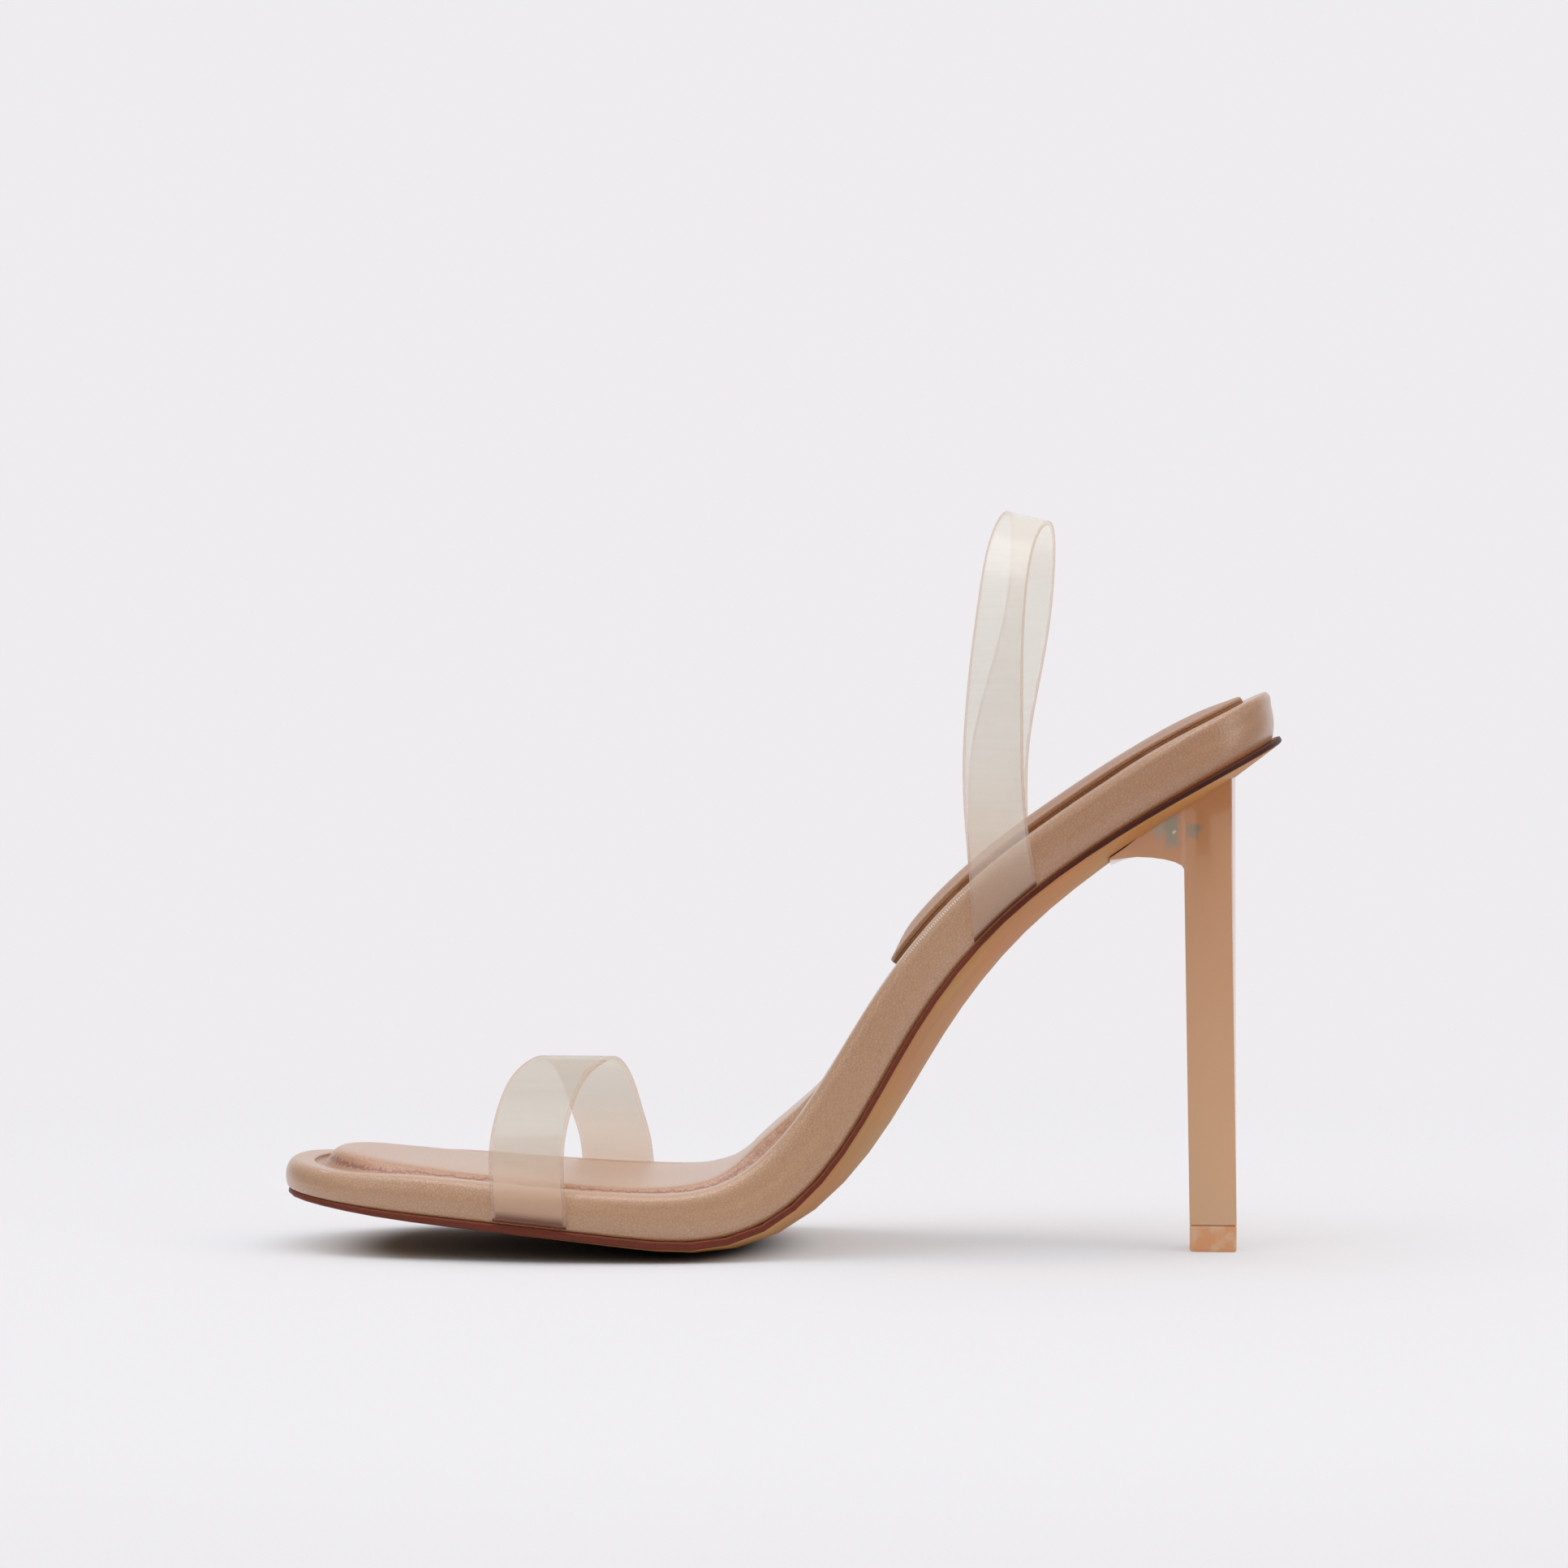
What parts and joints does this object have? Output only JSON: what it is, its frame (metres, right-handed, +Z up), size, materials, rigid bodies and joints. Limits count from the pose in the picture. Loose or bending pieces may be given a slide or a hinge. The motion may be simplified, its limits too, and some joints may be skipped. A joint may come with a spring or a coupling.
{
  "type": "strappy heeled sandal",
  "caption": "Open strappy sandal with a clear toe band, a clear slingback, a padded wrapped footbed and a tall clear slab heel, for the right foot",
  "frame": {"origin": "middle of the heel tip's rest face, on the floor", "axes": "+X from toe to heel, -Y the inner side of the foot, +Z up"},
  "size_m": [0.214, 0.0792, 0.1585],
  "materials": {
    "outsole_sheet": "satin moulded sheet",
    "wrapped_leather": "smooth synthetic leather with a fine grain and a soft sheen",
    "sock_pad": "smooth, padded",
    "front_strap_vinyl": "glossy flexible vinyl",
    "slingback_vinyl": "glossy flexible vinyl",
    "clear_acrylic": "polished",
    "heel_tip_rubber": "hard moulded, lightly mottled"
  },
  "bodies": {
    "root": {"outsole": "outsole_sheet", "footbed": "wrapped_leather", "heel_pad": "sock_pad", "front_strap": "front_strap_vinyl", "slingback_strap": "slingback_vinyl", "heel": "clear_acrylic", "heel_tip": "heel_tip_rubber"}
  },
  "joints": []
}
